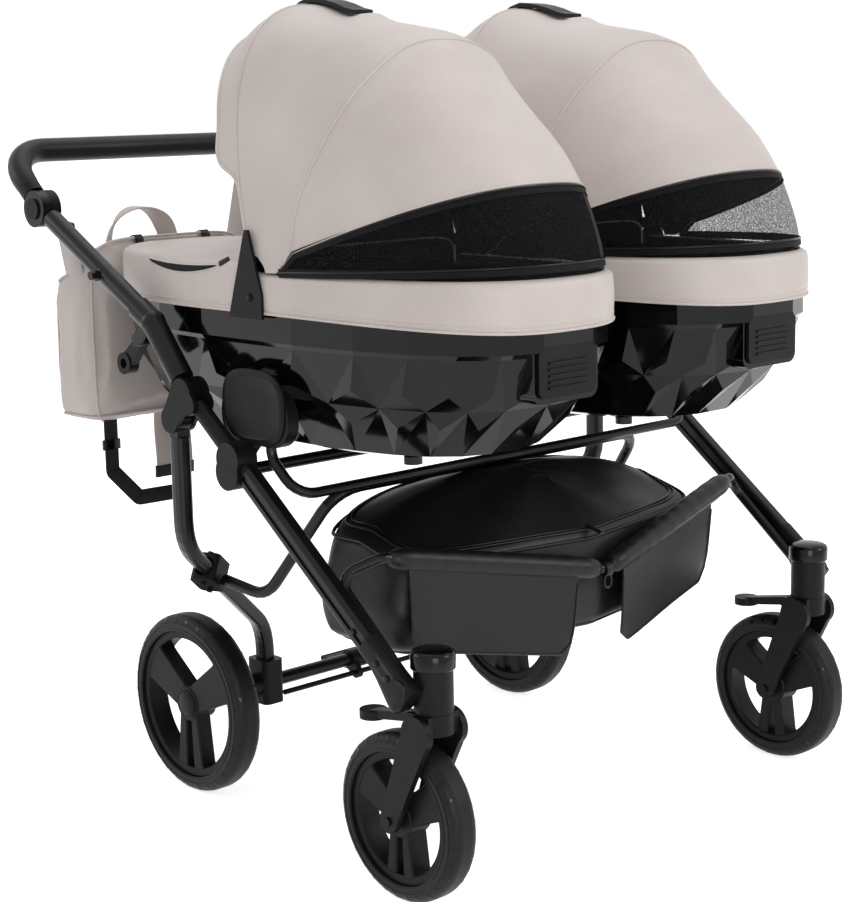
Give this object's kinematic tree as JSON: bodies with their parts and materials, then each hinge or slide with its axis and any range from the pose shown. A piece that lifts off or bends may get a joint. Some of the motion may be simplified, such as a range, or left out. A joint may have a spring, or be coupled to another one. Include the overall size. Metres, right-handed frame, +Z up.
{
  "type": "twin pram",
  "caption": "Side-by-side twin pram: hooded carrycots clipped on a folding black chassis with swivel front wheels, fixed rear wheels, tilting handle, basket and changing bag.",
  "frame": {"origin": "on the floor, under the middle of the bounding box", "axes": "+Z up, -Y the way of travel (head ends of the cots), +Y towards the push handle, +X the pram's left"},
  "size_m": [0.8698, 0.9455, 1.1158],
  "materials": {
    "frame_paint": "satin black powder coat",
    "black_plastic": "fine-grained black plastic",
    "tyre": "black foam rubber",
    "black_leather": "black imitation leather with stitched seams",
    "beige_cloth": "pale beige imitation leather",
    "webbing": "woven black webbing",
    "gloss_shell": "high-gloss black, moulded in facets",
    "pale_cloth": "soft pale cotton"
  },
  "bodies": {
    "chassis": {"front_leg_right": "frame_paint", "front_leg_left": "frame_paint", "knuckles": "black_plastic", "shoulders": "black_plastic", "caster_housings": "black_plastic", "rear_cross_bar": "frame_paint", "front_cross_bar": "frame_paint", "outer_adapters": "black_plastic", "centre_adapter": "black_plastic", "basket_bow": "frame_paint", "bow_covers": "black_leather", "basket": "black_leather"},
    "push_frame": {"push_tube_right": "frame_paint", "push_tube_left": "frame_paint", "changing_bag": "beige_cloth", "bag_straps": "webbing"},
    "rear_frame": {"rear_leg_right": "frame_paint", "rear_leg_left": "frame_paint", "axle_brackets": "black_plastic", "rear_axle": "frame_paint", "strut_clamps": "black_plastic", "basket_hoop": "frame_paint"},
    "brake": {"brake_pedal": "black_plastic"},
    "handle": {"handlebar": "frame_paint", "handle_hubs": "black_plastic", "handle_grip": "black_leather"},
    "rear_wheel_right": {"rear_rim_right": "black_plastic", "rear_tyre_right": "tyre"},
    "caster_right": {"caster_fork_right": "black_plastic"},
    "swivel_lock_right": {"swivel_lever_right": "black_plastic"},
    "front_wheel_right": {"front_rim_right": "black_plastic", "front_tyre_right": "tyre"},
    "trigger_right": {"fold_trigger_right": "black_plastic"},
    "tilt_button_right": {"handle_button_right": "black_plastic"},
    "cot_right": {"cot_shell_right": "gloss_shell", "rim_cover_right": "beige_cloth", "mattress_right": "pale_cloth", "apron_right": "beige_cloth", "hood_plates_right": "black_plastic", "hood_cover_right": "beige_cloth"},
    "end_button_right": {"end_panel_right": "black_plastic"},
    "hood_front_right": {"hood_front_bow_right": "black_plastic"},
    "hood_mid_right": {"hood_mid_bow_right": "black_plastic"},
    "rear_wheel_left": {"rear_rim_left": "black_plastic", "rear_tyre_left": "tyre"},
    "caster_left": {"caster_fork_left": "black_plastic"},
    "swivel_lock_left": {"swivel_lever_left": "black_plastic"},
    "front_wheel_left": {"front_rim_left": "black_plastic", "front_tyre_left": "tyre"},
    "trigger_left": {"fold_trigger_left": "black_plastic"},
    "tilt_button_left": {"handle_button_left": "black_plastic"},
    "cot_left": {"cot_shell_left": "gloss_shell", "rim_cover_left": "beige_cloth", "mattress_left": "pale_cloth", "apron_left": "beige_cloth", "hood_plates_left": "black_plastic", "hood_cover_left": "beige_cloth"},
    "end_button_left": {"end_panel_left": "black_plastic"},
    "hood_front_left": {"hood_front_bow_left": "black_plastic"},
    "hood_mid_left": {"hood_mid_bow_left": "black_plastic"}
  },
  "joints": [
    {"name": "push_fold", "type": "hinge", "parent": "chassis", "child": "push_frame", "pos_m": [0, 0.02425, 0.604], "axis": [1, 0, 0], "range_deg": [0, 38], "deforming": ["changing_bag", "bag_straps"]},
    {"name": "rear_fold", "type": "hinge", "parent": "chassis", "child": "rear_frame", "pos_m": [0, 0.05125, 0.568], "axis": [-1, 0, 0], "range_deg": [0, 5.7]},
    {"name": "brake_turn", "type": "hinge", "parent": "rear_frame", "child": "brake", "pos_m": [0, 0.16325, 0.13], "axis": [1, 0, 0], "range_deg": [0, 22]},
    {"name": "handle_tilt", "type": "hinge", "parent": "push_frame", "child": "handle", "pos_m": [0, 0.36325, 0.838], "axis": [1, 0, 0], "range_deg": [-45, 50], "deforming": ["bag_straps"]},
    {"name": "rear_wheel_spin_right", "type": "hinge", "parent": "rear_frame", "child": "rear_wheel_right", "pos_m": [-0.322, 0.16325, 0.13], "axis": [1, 0, 0], "continuous": true},
    {"name": "caster_swivel_right", "type": "hinge", "parent": "chassis", "child": "caster_right", "pos_m": [-0.374, -0.39975, 0.254], "axis": [0, 0, 1], "continuous": true},
    {"name": "swivel_lock_turn_right", "type": "hinge", "parent": "caster_right", "child": "swivel_lock_right", "pos_m": [-0.374, -0.36575, 0.2407], "axis": [1, 0, 0], "range_deg": [0, 25]},
    {"name": "front_wheel_spin_right", "type": "hinge", "parent": "caster_right", "child": "front_wheel_right", "pos_m": [-0.374, -0.34775, 0.108], "axis": [1, 0, 0], "continuous": true},
    {"name": "fold_trigger_pull_right", "type": "hinge", "parent": "push_frame", "child": "trigger_right", "pos_m": [-0.41, 0.12725, 0.668], "axis": [1, 0, 0], "range_deg": [0, 18], "stiffness_Nm_per_rad": 0.6, "springref_deg": -14.32},
    {"name": "tilt_button_press_right", "type": "slide", "parent": "push_frame", "child": "tilt_button_right", "axis": [1, 0, 0], "range_m": [0, 0.004], "stiffness_N_per_m": 700, "springref_m": -0.002},
    {"name": "cot_lift_right", "type": "slide", "parent": "chassis", "child": "cot_right", "axis": [0, 0, 1], "range_m": [0, 0.18]},
    {"name": "end_button_press_right", "type": "slide", "parent": "cot_right", "child": "end_button_right", "axis": [0, 1, 0], "range_m": [0, 0.005], "stiffness_N_per_m": 900, "springref_m": -0.002},
    {"name": "hood_fold_right", "type": "hinge", "parent": "cot_right", "child": "hood_front_right", "pos_m": [-0.2, -0.09175, 0.788], "axis": [1, 0, 0], "range_deg": [0, 75], "deforming": ["hood_cover_right"]},
    {"name": "hood_mid_follow_right", "type": "hinge", "parent": "cot_right", "child": "hood_mid_right", "pos_m": [-0.2, -0.09175, 0.788], "axis": [1, 0, 0], "range_deg": [0, 37.5]},
    {"name": "rear_wheel_spin_left", "type": "hinge", "parent": "rear_frame", "child": "rear_wheel_left", "pos_m": [0.322, 0.16325, 0.13], "axis": [1, 0, 0], "continuous": true},
    {"name": "caster_swivel_left", "type": "hinge", "parent": "chassis", "child": "caster_left", "pos_m": [0.374, -0.39975, 0.254], "axis": [0, 0, 1], "continuous": true},
    {"name": "swivel_lock_turn_left", "type": "hinge", "parent": "caster_left", "child": "swivel_lock_left", "pos_m": [0.374, -0.36575, 0.2407], "axis": [1, 0, 0], "range_deg": [0, 25]},
    {"name": "front_wheel_spin_left", "type": "hinge", "parent": "caster_left", "child": "front_wheel_left", "pos_m": [0.374, -0.34775, 0.108], "axis": [1, 0, 0], "continuous": true},
    {"name": "fold_trigger_pull_left", "type": "hinge", "parent": "push_frame", "child": "trigger_left", "pos_m": [0.41, 0.12725, 0.668], "axis": [1, 0, 0], "range_deg": [0, 18], "stiffness_Nm_per_rad": 0.6, "springref_deg": -14.32},
    {"name": "tilt_button_press_left", "type": "slide", "parent": "push_frame", "child": "tilt_button_left", "axis": [-1, 0, 0], "range_m": [0, 0.004], "stiffness_N_per_m": 700, "springref_m": -0.002},
    {"name": "cot_lift_left", "type": "slide", "parent": "chassis", "child": "cot_left", "axis": [0, 0, 1], "range_m": [0, 0.18]},
    {"name": "end_button_press_left", "type": "slide", "parent": "cot_left", "child": "end_button_left", "axis": [0, 1, 0], "range_m": [0, 0.005], "stiffness_N_per_m": 900, "springref_m": -0.002},
    {"name": "hood_fold_left", "type": "hinge", "parent": "cot_left", "child": "hood_front_left", "pos_m": [0.2, -0.09175, 0.788], "axis": [1, 0, 0], "range_deg": [0, 75], "deforming": ["hood_cover_left"]},
    {"name": "hood_mid_follow_left", "type": "hinge", "parent": "cot_left", "child": "hood_mid_left", "pos_m": [0.2, -0.09175, 0.788], "axis": [1, 0, 0], "range_deg": [0, 37.5]}
  ],
  "couplings": [
    {"joint": "rear_fold", "follows": "push_fold", "ratio": 0.15},
    {"joint": "hood_mid_follow_right", "follows": "hood_fold_right", "ratio": 0.5},
    {"joint": "hood_mid_follow_left", "follows": "hood_fold_left", "ratio": 0.5}
  ]
}
